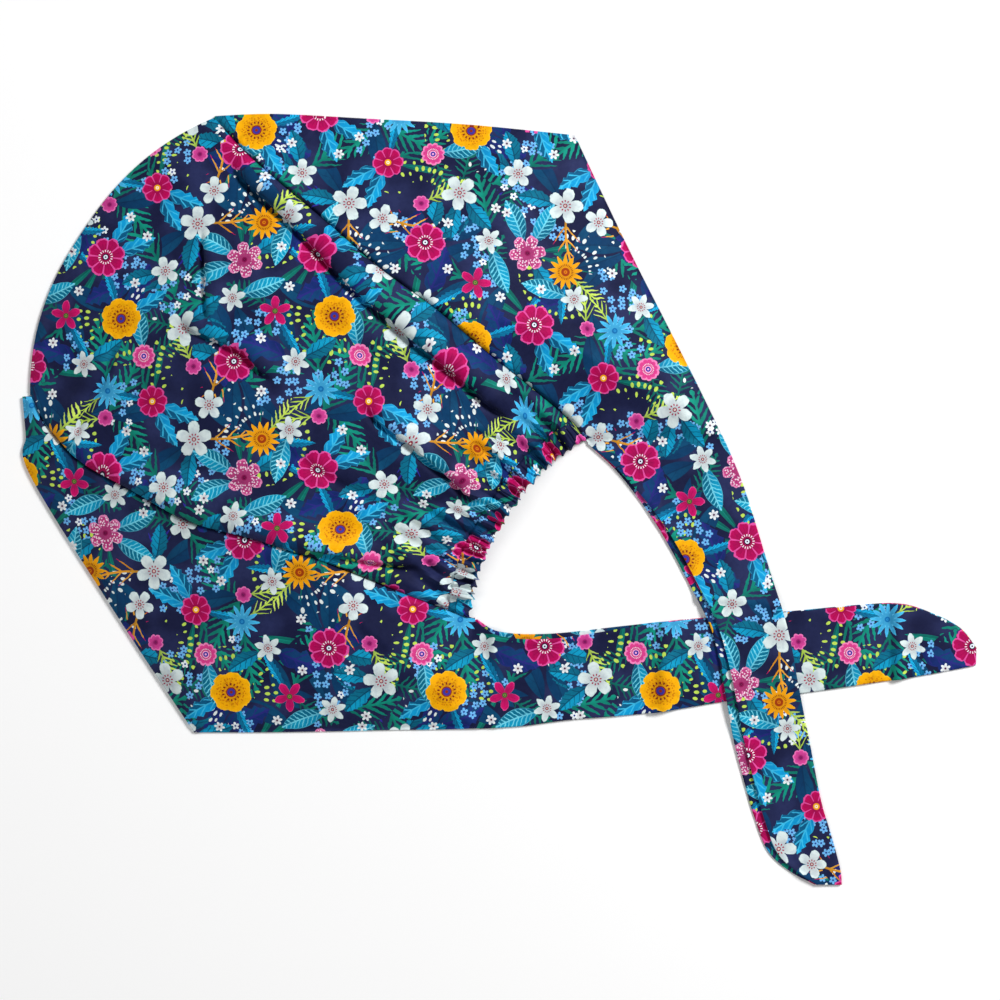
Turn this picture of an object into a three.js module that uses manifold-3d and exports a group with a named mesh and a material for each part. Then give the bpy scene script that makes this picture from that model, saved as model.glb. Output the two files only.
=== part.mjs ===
// A tie-back scrub cap of printed cotton, lying flat with its nape side up.
// Millimetres, +Z up. X runs from the far end of the crown to the tips of the ties, and +Y is the
// side of the right tie. The cap rests on z = 0: its front band lies on the floor, the crown rises
// over it as a low dome, and the mouth opens under the nape elastic.

import * as THREE from 'three';
import { mergeVertices } from 'three/addons/utils/BufferGeometryUtils.js';
import Module from 'manifold-3d';

const wasm = await Module();
wasm.setup();

// Driving dimensions
const clothThickness = 1.3; // one layer of the cap, seam allowances included
const tieThickness = 1.4; // a tie is two plies, pressed flat
const casingThickness = 2.6; // cloth, elastic and cloth
const casingWidth = 10;
const gap = 0.3; // between neighbouring pieces
const foldInset = 0.4; // the upper layer stops this far inside the pressed fold
const pressedWidth = 1.5; // the pressed strip along a fold, where the layers touch
const rollHeight = 5; // how far the cloth springs up beside a pressed fold
const rollLength = 7; // over what length it does
const domeHeight = 23; // the crown's fullness above that
const domeReach = 105; // distance from the edge at which the dome is full
const napeDrop = 0.42; // share of the dome that the elastic pulls down at the nape
const napeReach = 42; // how far into the crown that pull is felt
const foldFade = 18; // distance over which folds and gathers fade towards an edge
const gatherHeight = 1.1; // of the gathers beside the elastic
const gatherLength = 26; // how far they run into the crown
const gatherCount = 9;
const ruffleHeight = 0.7; // of the casing itself
const ruffleCount = 17;
const crossing = [129.5, 5]; // where the right tie lies over the left one
const crossingReach = 27; // half the length of the right tie that is lifted there
const crossingSlope = 0.8; // how gently it comes down again, as a share of that

// Fineness of the faceted walls
const stepsPerSection = 3;
const crownSteps = 26;
const panelSteps = 8;
const casingSteps = 68;
const tieSteps = 5;

// The upper layer, one row for each section from the far end of the crown to the ends of the band.
// A section runs from the right outer edge over the right seam and the left seam to the left outer
// edge; bow is how far the crown's part of it bends towards the far end.
const sections = [
  { edgeR: [-202.5, 78], seamR: [-200.5, 75], seamL: [-204.5, -72], edgeL: [-207, -74.5], bow: 21 },
  { edgeR: [-180, 93.5], seamR: [-180, 71.5], seamL: [-190, -79.5], edgeL: [-196.5, -88], bow: 20 },
  { edgeR: [-145, 113.5], seamR: [-156, 67.5], seamL: [-168, -84], edgeL: [-185.5, -102], bow: 18 },
  { edgeR: [-104, 136.5], seamR: [-130, 64], seamL: [-141, -82], edgeL: [-122, -132.5], bow: 15 },
  { edgeR: [-61.5, 158.2], seamR: [-101, 59.5], seamL: [-112, -79.5], edgeL: [-60.6, -159.8], bow: 13 },
  { edgeR: [-36, 142.2], seamR: [-70, 57.5], seamL: [-81, -69.5], edgeL: [-36, -144], bow: 12 },
  { edgeR: [-8, 125], seamR: [-40, 54], seamL: [-49, -61.5], edgeL: [-10, -126.8], bow: 11 },
  { edgeR: [20, 108.6], seamR: [-15, 51.8], seamL: [-19, -56.8], edgeL: [12, -112], bow: 11 },
  { edgeR: [46, 93.3], seamR: [6.5, 49.2], seamL: [5.5, -51.8], edgeL: [31, -99.5], bow: 11 },
  { edgeR: [68.8, 79.3], seamR: [18, 45.2], seamL: [17, -49], edgeL: [45.6, -89.5], bow: 12 },
];
const cornerSection = 4; // the pressed folds end here, and the free edges at the brow begin
const napeSection = 8; // the crown ends here, at the casing
const bowPower = 2.4; // how square the bow is

// The hidden seam under the far end, between the crown and the band, and the band's free edge at
// the brow, both from the right side to the left
const hiddenSeam = [
  [-190, 61],
  [-184, 34],
  [-182.5, -3],
  [-186, -37],
  [-193, -61],
];
const hiddenBrow = [
  [-55, 110],
  [-51, 50],
  [-50.5, -45],
  [-54.5, -110],
];

// The main folds and dents of the upper layer: a ridge has a positive height, a dent a negative one
const folds = [
  { from: [-186, 66], to: [-92, 49], height: 2.6, width: 6 },
  { from: [-92, 49], to: [-22, 40], height: 2.4, width: 6 },
  { from: [-184, 55], to: [-92, 38], height: -2.2, width: 5 },
  { from: [-164, -9], to: [-112, -8], height: 2.2, width: 7 },
  { from: [-179, 35], to: [-151, -5], height: -1.8, width: 6 },
  { from: [-180, -30], to: [-176, -80], height: 2, width: 7 },
  { from: [-74, 4], to: [-12, -5], height: -2.2, width: 6 },
  { from: [-64, -57], to: [-16, -42], height: 2.4, width: 6 },
  { from: [-150, -62], to: [-80, -52], height: -1.8, width: 8 },
  { from: [-30, 92], to: [30, 76], height: 1.5, width: 9 },
];

// The ties, one row for each section from the band to the tip
const rightTie = [
  { inner: [18.3, 45], outer: [69.3, 78.9] },
  { inner: [38, 41], outer: [80, 71.6] },
  { inner: [65, 30.5], outer: [92.7, 62] },
  { inner: [91.5, 16], outer: [116.3, 41.9] },
  { inner: [110, 4.5], outer: [139, 22.3] },
  { inner: [125.1, -10.2], outer: [155.4, 5] },
  { inner: [143, -29.5], outer: [173, -13.1] },
  { inner: [160, -45.5], outer: [192, -33] },
  { inner: [172, -56], outer: [204, -43.5] },
  { inner: [185, -65.3], outer: [213, -51.5] },
  { inner: [198, -67.7], outer: [218, -56.5] },
  { inner: [211, -66.7], outer: [221, -60.5] },
];
const leftTie = [
  { inner: [17.3, -48.8], outer: [46.1, -89.2] },
  { inner: [30.5, -47.8], outer: [62, -77.5] },
  { inner: [50, -36.4], outer: [78, -64] },
  { inner: [76.5, -15.2], outer: [107.6, -41.2] },
  { inner: [96, 0.5], outer: [132.2, -19.5] },
  { inner: [133.3, 28.8], outer: [158.3, 1.5] },
  { inner: [160.4, 49.9], outer: [179.6, 20] },
  { inner: [175.6, 60.2], outer: [193, 31.5] },
  { inner: [190, 64.2], outer: [204, 41.5] },
  { inner: [203.8, 65.3], outer: [213, 50] },
  { inner: [214.5, 61.8], outer: [218.5, 55.3] },
];

const mix = (a, b, share) => a + (b - a) * share;
const smooth = (share) => {
  const held = Math.min(1, Math.max(0, share));
  return held * held * (3 - 2 * held);
};

const mixPoints = (a, b, share) => [mix(a[0], b[0], share), mix(a[1], b[1], share)];
const distance = (a, b) => Math.hypot(b[0] - a[0], b[1] - a[1]);

// The row at a place between two rows of a table, counted in rows
function rowAt(table, place) {
  const before = Math.min(Math.floor(place), table.length - 2);
  const share = place - before;
  const row = {};
  for (const [key, value] of Object.entries(table[before])) {
    const next = table[before + 1][key];
    row[key] = Array.isArray(value) ? mixPoints(value, next, share) : mix(value, next, share);
  }
  return row;
}

// A point of the crown's part of a section, from the right seam (0) to the left seam (1)
function crownPoint(row, share, margin = 0) {
  const over = margin / distance(row.seamR, row.seamL);
  const [x, y] = mixPoints(row.seamR, row.seamL, mix(-over, 1 + over, share));
  return [x - row.bow * (1 - Math.abs(2 * share - 1) ** bowPower), y];
}

// Points of the crown's section at a place, from the right seam to the left
function crownLine(place, steps = crownSteps) {
  const row = rowAt(sections, place);
  return Array.from({ length: steps + 1 }, (_, i) => crownPoint(row, i / steps));
}

const farLine = crownLine(0);
const napeLine = crownLine(napeSection);
const rightEdge = sections.map((row) => row.edgeR);
const leftEdge = sections.map((row) => row.edgeL);
const last = sections[sections.length - 1];

// Where the upper layer comes down to the lower one or to the floor
const lowEdges = [rightEdge, leftEdge, farLine, [last.edgeR, last.seamR], [last.edgeL, last.seamL]];

// How far a point is from the stretch between two others
function distanceToStretch(point, from, to) {
  const [alongX, alongY] = [to[0] - from[0], to[1] - from[1]];
  const dot = (point[0] - from[0]) * alongX + (point[1] - from[1]) * alongY;
  const share = dot / (alongX * alongX + alongY * alongY);
  return distance(point, mixPoints(from, to, Math.min(1, Math.max(0, share))));
}

function distanceToLine(point, line) {
  let nearest = Infinity;
  for (let i = 1; i < line.length; i += 1) {
    nearest = Math.min(nearest, distanceToStretch(point, line[i - 1], line[i]));
  }
  return nearest;
}

// The folds and dents at a point
function foldsAt(point) {
  let sum = 0;
  for (const fold of folds) {
    const away = distanceToStretch(point, fold.from, fold.to);
    sum += fold.height * Math.exp(-((away / fold.width) ** 2));
  }
  return sum;
}

// The gathers that the elastic draws up, fading into the crown
function gathersAt(point, fromNape) {
  const nape = sections[napeSection];
  const across = (point[1] - nape.seamL[1]) / (nape.seamR[1] - nape.seamL[1]);
  const wave = Math.sin(Math.PI * 2 * gatherCount * across);
  const ends = smooth(4 * across) * smooth(4 - 4 * across);
  return gatherHeight * wave * ends * Math.exp(-fromNape / gatherLength);
}

// Height of the upper layer's middle surface above the floor
function liftAt(point) {
  const fromEdge = Math.min(...lowEdges.map((line) => distanceToLine(point, line)));
  const fromNape = distanceToLine(point, napeLine);
  const corner = sections[cornerSection].edgeR;
  const pastCorner = smooth((point[0] - corner[0]) / (2 * clothThickness));
  const rim = mix(clothThickness, clothThickness / 2, pastCorner);
  const roll = rollHeight * (1 - Math.exp(-Math.max(0, fromEdge - pressedWidth) / rollLength));
  const pull = 1 - napeDrop * Math.exp(-fromNape / napeReach);
  const dome = domeHeight * smooth(fromEdge / domeReach) * pull;
  const detail = foldsAt(point) + gathersAt(point, fromNape);
  return rim + roll + dome + detail * smooth((fromEdge - pressedWidth) / foldFade);
}

const lifted = (point) => [...point, liftAt(point)];

// A manifold solid from closed geometry
function solidOf(geometry) {
  const bare = new THREE.BufferGeometry();
  bare.setAttribute('position', geometry.getAttribute('position'));
  bare.setIndex(geometry.getIndex());
  const merged = mergeVertices(bare, 1e-4);
  return new wasm.Manifold(new wasm.Mesh({
    numProp: 3,
    vertProperties: new Float32Array(merged.getAttribute('position').array),
    triVerts: new Uint32Array(merged.getIndex().array),
  }));
}

// The largest body of a solid, as geometry
function geometryOf(solid) {
  const bodies = solid.decompose().sort((a, b) => b.volume() - a.volume());
  const mesh = bodies[0].getMesh();
  const geometry = new THREE.BufferGeometry();
  geometry.setAttribute('position', new THREE.BufferAttribute(mesh.vertProperties, 3));
  geometry.setIndex(new THREE.BufferAttribute(mesh.triVerts, 1));
  return geometry;
}

// A closed wall of cloth round a grid of points on its middle surface, lines of equal length
function clothWall(lines, thickness) {
  const rows = lines.length;
  const columns = lines[0].length;
  const positions = [];
  for (const side of [1, -1]) {
    for (const line of lines) {
      for (const point of line) {
        positions.push(point[0], point[1], point[2] + side * thickness / 2);
      }
    }
  }
  const layer = rows * columns;
  const index = [];
  const quad = (a, b, c, d) => index.push(a, b, c, a, c, d);
  for (let i = 0; i < rows - 1; i += 1) {
    for (let j = 0; j < columns - 1; j += 1) {
      const at = i * columns + j;
      quad(at, at + 1, at + columns + 1, at + columns);
      quad(layer + at, layer + at + columns, layer + at + columns + 1, layer + at + 1);
    }
  }
  const rim = [];
  for (let j = 0; j < columns - 1; j += 1) rim.push(j);
  for (let i = 0; i < rows - 1; i += 1) rim.push((i + 1) * columns - 1);
  for (let j = columns - 1; j > 0; j -= 1) rim.push((rows - 1) * columns + j);
  for (let i = rows - 1; i > 0; i -= 1) rim.push(i * columns);
  rim.forEach((at, k) => {
    const next = rim[(k + 1) % rim.length];
    quad(next, at, layer + at, layer + next);
  });
  const [first, next] = lines[0];
  const across = new THREE.Vector2(next[0] - first[0], next[1] - first[1]);
  const along = new THREE.Vector2(lines[1][0][0] - first[0], lines[1][0][1] - first[1]);
  if (across.cross(along) < 0) index.reverse();
  const geometry = new THREE.BufferGeometry();
  geometry.setAttribute('position', new THREE.BufferAttribute(new Float32Array(positions), 3));
  geometry.setIndex(index);
  return geometry;
}

// A flat layer of cloth on the floor, from its outline
function flatLayer(outline, bottom, top) {
  const shape = new THREE.Shape(outline.map(([x, y]) => new THREE.Vector2(x, y)));
  const geometry = new THREE.ExtrudeGeometry(shape, { depth: top - bottom, bevelEnabled: false });
  geometry.translate(0, 0, bottom);
  return mergedFlat(geometry);
}

// Extruded geometry with its shared vertices joined, so that it is closed
function mergedFlat(geometry) {
  geometry.deleteAttribute('normal');
  geometry.deleteAttribute('uv');
  return mergeVertices(geometry);
}

const places = (from, to) => {
  const count = (to - from) * stepsPerSection;
  return Array.from({ length: count + 1 }, (_, i) => from + i / stepsPerSection);
};

// The crown: its upper layer between the seams, and the strip folded under at the far end. With a
// margin it is the room that the crown needs, which the band leaves free.
function crownSolid(margin) {
  const lines = places(0, napeSection).map((place, i) => {
    const row = rowAt(sections, place);
    return Array.from({ length: crownSteps + 1 }, (_, j) => {
      const [x, y] = crownPoint(row, j / crownSteps, margin);
      return lifted([i === 0 ? x + foldInset : x, y]);
    });
  });
  if (margin > 0) {
    lines.unshift(lines[0].map(([x, y, z]) => [x - margin, y, z]));
    lines.push(lines[lines.length - 1].map(([x, y, z]) => [x + margin, y, z]));
  }
  const upper = solidOf(clothWall(lines, clothThickness + 2 * margin));
  const outline = [...farLine, ...[...hiddenSeam].reverse()];
  const strip = solidOf(flatLayer(outline, -margin, clothThickness + margin));
  const grown = [strip];
  for (let turn = 0; margin > 0 && turn < 8; turn += 1) {
    const angle = (Math.PI / 4) * turn;
    grown.push(strip.translate([margin * Math.cos(angle), margin * Math.sin(angle), 0]));
  }
  return wasm.Manifold.union([upper, ...grown]);
}

// One side panel of the band on the upper layer, from its seam to its outer edge
function panelSolid(side) {
  const lines = places(0, sections.length - 1).map((place) => {
    const row = rowAt(sections, place);
    const seam = row[`seam${side}`];
    const edge = row[`edge${side}`];
    const pressed = place <= cornerSection ? foldInset / distance(seam, edge) : 0;
    return Array.from({ length: panelSteps + 1 }, (_, j) => {
      return lifted(mixPoints(seam, edge, (j / panelSteps) * (1 - pressed)));
    });
  });
  return solidOf(clothWall(lines, clothThickness));
}

// The band: two side panels on the upper layer, and the forehead panel that joins them underneath
function frontBand() {
  const forehead = [
    ...farLine,
    ...leftEdge.slice(0, cornerSection + 1),
    ...[...hiddenBrow].reverse(),
    ...rightEdge.slice(0, cornerSection + 1).reverse(),
  ];
  const whole = solidOf(flatLayer(forehead, 0, clothThickness))
    .add(panelSolid('R'))
    .add(panelSolid('L'));
  return geometryOf(whole.subtract(crownSolid(1.5 * gap)));
}

// The casing: a ruffled channel along the nape, between the crown's last section and the band's
function elasticCasing() {
  const depth = distance(crownPoint(sections[napeSection], 0.5), crownPoint(last, 0.5));
  const lines = Array.from({ length: casingSteps + 1 }, (_, i) => {
    const share = i / casingSteps;
    const ruffle = ruffleHeight * Math.sin(Math.PI * 2 * ruffleCount * share);
    return [gap, casingWidth / 2, casingWidth].map((across) => {
      const row = rowAt(sections, napeSection + across / depth);
      const [x, y, z] = lifted(crownPoint(row, share, -2 * gap));
      return [x, y, Math.max(z, casingThickness / 2 + ruffleHeight) + ruffle];
    });
  });
  return clothWall(lines, casingThickness);
}

// A tie, flat on the floor except where its lift carries it over the other one
function tie(table, liftOf) {
  const count = (table.length - 1) * stepsPerSection;
  const lines = Array.from({ length: count + 1 }, (_, i) => {
    const row = rowAt(table, i / stepsPerSection);
    return Array.from({ length: tieSteps + 1 }, (_, j) => {
      const point = mixPoints(row.inner, row.outer, j / tieSteps);
      return [...point, tieThickness / 2 + liftOf(point)];
    });
  });
  return clothWall(lines, tieThickness);
}

const overTheOther = (point) => {
  const fade = 1 + crossingSlope - distance(point, crossing) / crossingReach;
  return (tieThickness + 1.5 * gap) * smooth(fade / crossingSlope);
};
const onTheFloor = () => 0;

const colours = {
  crown: 0x1f2a55,
  front_band: 0x233061,
  elastic_casing: 0x3a3566,
  tie_right: 0x1d3a66,
  tie_left: 0x1b2f5c,
};

const cap = new THREE.Group();
function addPiece(name, geometry) {
  const material = new THREE.MeshStandardMaterial({ color: colours[name], roughness: 0.85, metalness: 0 });
  const mesh = new THREE.Mesh(geometry, material);
  mesh.name = name;
  cap.add(mesh);
}

addPiece('crown', geometryOf(crownSolid(0)));
addPiece('front_band', frontBand());
addPiece('elastic_casing', elasticCasing());
addPiece('tie_right', tie(rightTie, overTheOther));
addPiece('tie_left', tie(leftTie, onTheFloor));

// The origin goes under the middle of the whole cap, on the floor
const box = new THREE.Box3().setFromObject(cap);
cap.position.set(-(box.min.x + box.max.x) / 2, -(box.min.y + box.max.y) / 2, -box.min.z);

export default cap;
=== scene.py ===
import math

import bmesh
import bpy
import numpy as np
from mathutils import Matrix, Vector, noise
from mathutils.geometry import delaunay_2d_cdt


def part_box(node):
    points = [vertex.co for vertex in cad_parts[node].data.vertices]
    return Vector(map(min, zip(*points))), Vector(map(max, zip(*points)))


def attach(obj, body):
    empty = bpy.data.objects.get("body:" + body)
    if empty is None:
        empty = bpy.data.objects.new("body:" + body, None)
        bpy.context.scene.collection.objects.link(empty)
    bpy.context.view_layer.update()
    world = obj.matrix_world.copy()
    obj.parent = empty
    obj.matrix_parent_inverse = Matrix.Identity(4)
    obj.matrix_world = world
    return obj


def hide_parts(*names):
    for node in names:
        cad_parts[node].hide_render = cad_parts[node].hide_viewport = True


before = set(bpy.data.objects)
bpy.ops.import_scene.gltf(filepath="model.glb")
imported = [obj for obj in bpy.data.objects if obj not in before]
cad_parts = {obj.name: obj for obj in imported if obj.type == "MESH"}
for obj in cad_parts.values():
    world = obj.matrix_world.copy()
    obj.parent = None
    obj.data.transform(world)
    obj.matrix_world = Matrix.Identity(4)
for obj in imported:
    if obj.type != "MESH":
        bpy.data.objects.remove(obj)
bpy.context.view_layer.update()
mm = 0.001

# The lying cap, in millimetres: one row for each section from the far end of the crown to the ends
# of the band. A section runs from the right outer edge over both seams to the left outer edge.
cap = {
    "edgeR": [(-202.5, 78), (-180, 93.5), (-145, 113.5), (-104, 136.5), (-61.5, 158.2),
              (-36, 142.2), (-8, 125), (20, 108.6), (46, 93.3), (68.8, 79.3)],
    "seamR": [(-202.1, 77.4), (-180, 71.5), (-156, 67.5), (-130, 64), (-101, 59.5),
              (-70, 57.5), (-40, 54), (-15, 51.8), (6.5, 49.2), (18, 45.2)],
    "seamL": [(-204.5, -72), (-190, -79.5), (-168, -84), (-141, -82), (-112, -79.5),
              (-81, -69.5), (-49, -61.5), (-19, -56.8), (5.5, -51.8), (17, -49)],
    "edgeL": [(-207, -74.5), (-196.5, -88), (-185.5, -102), (-122, -132.5), (-60.6, -159.8),
              (-36, -144), (-10, -126.8), (12, -112), (31, -99.5), (45.6, -89.5)],
    "bow": [21, 20, 18, 15, 13, 12, 11, 11, 11, 12],
    "bowPower": 2.4,
    "corner": 4,  # the pressed folds end here, and the free edges at the brow begin
    "nape": 8,  # the crown ends here, at the casing
    "last": 9,  # and the band here, at the ties' roots
    "hiddenSeam": [(-190, 61), (-184, 34), (-182.5, -3), (-186, -37), (-193, -61)],
    "hiddenBrow": [(-55, 110), (-51, 50), (-50.5, -45), (-54.5, -110)],
    "middle": (-120, 0),  # a place inside
    "cloth": 0.6,  # thickness of one layer
    "rimHeight": 1.3,  # middle of the upper layer at a pressed fold
    "floorHeight": 0.36,  # middle of a layer that lies on the floor
    "freeHeight": 0.62,  # middle of the upper layer at its free edges
    "foldRadius": 0.85,
    "rollHeight": 5.0,  # how the upper layer rises at once from the rim
    "rollLength": 7.0,
    "domeHeight": 23.0,  # and on to the middle
    "domeReach": 105.0,
    "napeDrop": 0.42,  # the share that the elastic pulls down
    "napeReach": 42.0,
    "rootHeight": 1.12,  # where the band's ends run on into the ties
    "rootLap": 0.8,
    "ditch": 2.6,  # depth of the slot at a seam
    "ditchHalf": (0.85, 0.95, 0.9),  # half its width at the right seam, the left one and the nape
    "puff": 2.6,  # how high the crown stands over the left seam, and how far it leans over it
    "puffLean": 1.5,
    # swells beside a seam: height, how far from it towards the crown, width
    "swellsR": [(0.9, 3.5, 3), (0.7, -3, 3)],
    "swellsL": [(0.6, -5, 3)],
    "pucker": 0.2,
    # height, size, how they are drawn out along and across, seed
    "wrinkles": [(1.1, 34, (1, 1), 1), (0.45, 11, (0.55, 1.3), 2), (0.1, 4.5, (1, 1), 4)],
    "grain": 32.68,  # how the cloth's grain lies, in degrees
    "pitch": 1.15,  # spacing of the mesh on the upper layer
    "rings": (0.35, 0.75, 1.2, 1.75),  # finer lines of it along every edge
    "weld": 0.004,  # points closer than this become one
}


def smooth(share):
    held = np.clip(share, 0, 1)
    return held * held * (3 - 2 * held)


def bell(share):
    return np.exp(-(share ** 2))


def unit(vectors):
    return vectors / np.linalg.norm(vectors, axis=1)[:, None]


def stepsOf(line):
    return np.linalg.norm(np.diff(line, axis=0), axis=1)


# Points on a smooth line through the rows of a table, at places counted in rows.
def splineAt(rows, places, corner=None):
    rows = np.reshape(np.array(rows, float), (len(rows), -1))
    places = np.asarray(places, float)
    last = len(rows) - 1
    i = np.clip(np.floor(places).astype(int), 0, last - 1)
    t = (places - i)[:, None]
    a, b = rows[i], rows[i + 1]
    before = np.where((i > 0) & (i != corner), i - 1, i)
    after = np.where((i + 2 <= last) & (i + 1 != corner), i + 2, i + 1)
    slopeA = (b - rows[before]) / (i + 1 - before)[:, None]
    slopeB = (rows[after] - a) / (after - i)[:, None]
    return (
        (2 * t**3 - 3 * t**2 + 1) * a + (t**3 - 2 * t**2 + t) * slopeA
        + (3 * t**2 - 2 * t**3) * b + (t**3 - t**2) * slopeB
    )


# The same line with its points about a step apart, its ends kept.
def evenly(line, step):
    line = np.asarray(line, float)
    run = np.concatenate([[0], np.cumsum(stepsOf(line))])
    count = max(1, round(run[-1] / step))
    at = np.linspace(0, run[-1], count + 1)
    return np.stack([np.interp(at, run, line[:, k]) for k in range(line.shape[1])], axis=1)


# An edge or a seam between two sections.
def side(key, start, end, step=1.0):
    places = np.linspace(start, end, int(abs(end - start) * 40) + 2)
    corner = cap["corner"] if key.startswith("edge") else None
    return evenly(splineAt(cap[key], places, corner), step)


# The crown's part of a section, from the right seam to the left.
def crownLine(place, step=1.0):
    share = np.linspace(0, 1, 200)[:, None]
    right, left, bow = (splineAt(cap[k], [place])[0] for k in ("seamR", "seamL", "bow"))
    line = right + (left - right) * share
    line[:, 0] -= bow[0] * (1 - np.abs(2 * share[:, 0] - 1) ** cap["bowPower"])
    return evenly(line, step)


# Distance to a line, the share of the way along it, the side (left of it is positive) and the
# foot, which is the nearest point of the line itself.
def nearest(points, line):
    points, line = np.asarray(points, float), np.asarray(line, float)
    best = np.full(len(points), 1e9)
    along = np.zeros(len(points))
    sign = np.ones(len(points))
    foot = np.zeros((len(points), 2))
    lengths = stepsOf(line)
    run = np.concatenate([[0], np.cumsum(lengths)])
    for k in range(len(line) - 1):
        step = line[k + 1] - line[k]
        offset = points - line[k]
        t = np.clip(offset @ step / (step @ step), 0, 1)
        away = np.linalg.norm(offset - t[:, None] * step, axis=1)
        closer = away < best
        best = np.where(closer, away, best)
        along = np.where(closer, (run[k] + t * lengths[k]) / run[-1], along)
        turn = step[0] * offset[:, 1] - step[1] * offset[:, 0]
        sign = np.where(closer, np.where(turn < 0, -1, 1), sign)
        foot = np.where(closer[:, None], line[k] + t[:, None] * step, foot)
    return best, along, sign, foot


def fromLines(points, lines):
    return np.min([nearest(points, line)[0] for line in lines], axis=0)


napeLine = crownLine(cap["nape"], 4)
seamLineR, seamLineL, edgeLineR, edgeLineL = (
    side(key, 0, cap["last"], 5) for key in ("seamR", "seamL", "edgeR", "edgeL"))
roots = [np.array([cap["edge" + key][-1], cap["seam" + key][-1]], float) for key in "RL"]
lowEdges = [edgeLineR, edgeLineL, crownLine(0, 4), *roots]

# Folds of the upper layer: a sharp valley along the line, and a ridge on one side of it (1 is
# left). Then the heights of both, the width, and the share of the line over which they fade.
creaseTable = [
    ([(-187, 63), (-156, 57), (-133, 52.5), (-108, 45.5), (-91, 43), (-69, 40), (-42, 37.5), (-12, 33)],
     1, 4.2, 3.2, 4.6, 0.1),
    ([(-164, -9), (-145, -6), (-130, -4), (-111, -9)], 1, 3.3, 2.6, 3.6, 0.2),
    ([(-178, 33), (-166, 18), (-150, -4)], 1, 2.0, 2.4, 3.2, 0.22),
    ([(-183, -30), (-179.5, -43), (-179, -61), (-177, -84)], -1, 2.4, 1.8, 4.2, 0.25),
    ([(-76, 5), (-66, 2.5), (-47, 1), (-30, -1), (-19, -3), (-5, -6)], 1, 3.2, 3.2, 3.8, 0.2),
    ([(-34, 20), (-24, 22), (-12, 25), (4, 25.5)], -1, 1.8, 2.0, 3.2, 0.25),
    ([(-68, -65), (-49, -57), (-33, -51), (-12, -41)], 1, 2.9, 2.8, 3.8, 0.22),
    ([(-150, -66), (-118, -60), (-84, -52)], -1, 1.4, 0.5, 7.0, 0.35),
    ([(-36, 94), (-6, 84), (26, 74)], 1, 1.2, 0.6, 7.0, 0.4),
    ([(-20, -88), (4, -80), (24, -74)], -1, 1.2, 0.8, 6.0, 0.4),
    ([(-120, 28), (-86, 22), (-56, 21)], -1, 1.0, 0.5, 8.0, 0.4),
    ([(-104, -28), (-70, -30), (-34, -26)], 1, 1.3, 0.9, 5.5, 0.4),
]
creases = [dict(zip(("line", "side", "ridge", "valley", "width", "fade"), row)) for row in creaseTable]

gathers = {
    "count": 23,
    "height": 2.3,
    "lengths": (12, 38),
    "width": 1.3,
    "spread": 0.35,  # how much wider a gather is at its end
    "seed": 7,
}
draw = np.random.RandomState(gathers["seed"])
count = gathers["count"]
gatherShares = (np.arange(count) + 0.5 + draw.uniform(-0.3, 0.3, count)) / count
gatherLengths = draw.uniform(*gathers["lengths"], count)
gatherHeights = gathers["height"] * draw.uniform(0.55, 1.2, count)
gatherLeans = draw.uniform(-0.25, 0.25, count)


# Smooth noise of about -1 to 1, with its features about size apart.
def noiseAt(points, size, seed):
    return np.array([noise.noise((p[0] / size, p[1] / size, seed * 7.3)) for p in points])


# What the elastic draws up, running from the nape into the crown.
def gathersAt(points, fromNape):
    right, left = cap["seamR"][cap["nape"]][1], cap["seamL"][cap["nape"]][1]
    span = right - left
    across = (points[:, 1] - left) / span
    width = gathers["width"] * (1 + gathers["spread"] * fromNape / 10)
    total = np.zeros(len(points))
    for share, length, height, lean in zip(gatherShares, gatherLengths, gatherHeights, gatherLeans):
        away = ((across - share) * span - lean * fromNape) / width
        fade = np.exp(-((fromNape / length) ** 1.5))
        total += height * fade * (bell(away) - 0.45 * bell(away - 1.9))
    return total


# Distance from a fold's line, positive on its ridge's side, how much of the fold is there,
# and the way to the line.
def fromCrease(points, crease):
    away, along, sign, foot = nearest(points, crease["line"])
    there = smooth(along / crease["fade"]) * smooth((1 - along) / crease["fade"])
    way = (foot - points) / np.maximum(away, 0.05)[:, None]
    return away * sign * crease["side"], there, way


def creasesAt(points):
    total = np.zeros(len(points))
    for crease in creases:
        away, there, way = fromCrease(points, crease)
        width = crease["width"]
        slope = np.where(away < width, 0.62, 1.5) * width  # steep towards the line, easy behind
        ridge = crease["ridge"] * bell((away - width) / slope)
        valley = crease["valley"] * bell((away + 0.2 * width) / (0.42 * width))
        total += there * (ridge - valley)
    return total


# How much the crown stands puffed over the left seam.
def puffAt(along, endReach):
    return smooth((along - 0.06) / 0.1) * smooth((endReach - along) / 0.2)


# How far the cloth leans over sideways: each ridge hangs a little over its valley, and the
# crown over the left seam.
def leanAt(points):
    points = np.asarray(points, float)
    total = np.zeros((len(points), 2))
    for crease in creases:
        away, there, way = fromCrease(points, crease)
        width = crease["width"]
        amount = 0.62 * crease["ridge"] * bell((away - 0.62 * width) / (0.36 * width)) * there
        total += way * (amount * (away > 0))[:, None]
    away, along, sign, foot = nearest(points, seamLineL)
    way = (foot - points) / np.maximum(away, 0.05)[:, None]
    amount = cap["puffLean"] * puffAt(along, 0.86) * smooth(away / 0.7) * bell((away - 1.7) / 1.5)
    total += way * (amount * (sign > 0))[:, None]
    return total * smooth((fromLines(points, lowEdges) - 2) / 10)[:, None]


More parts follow.
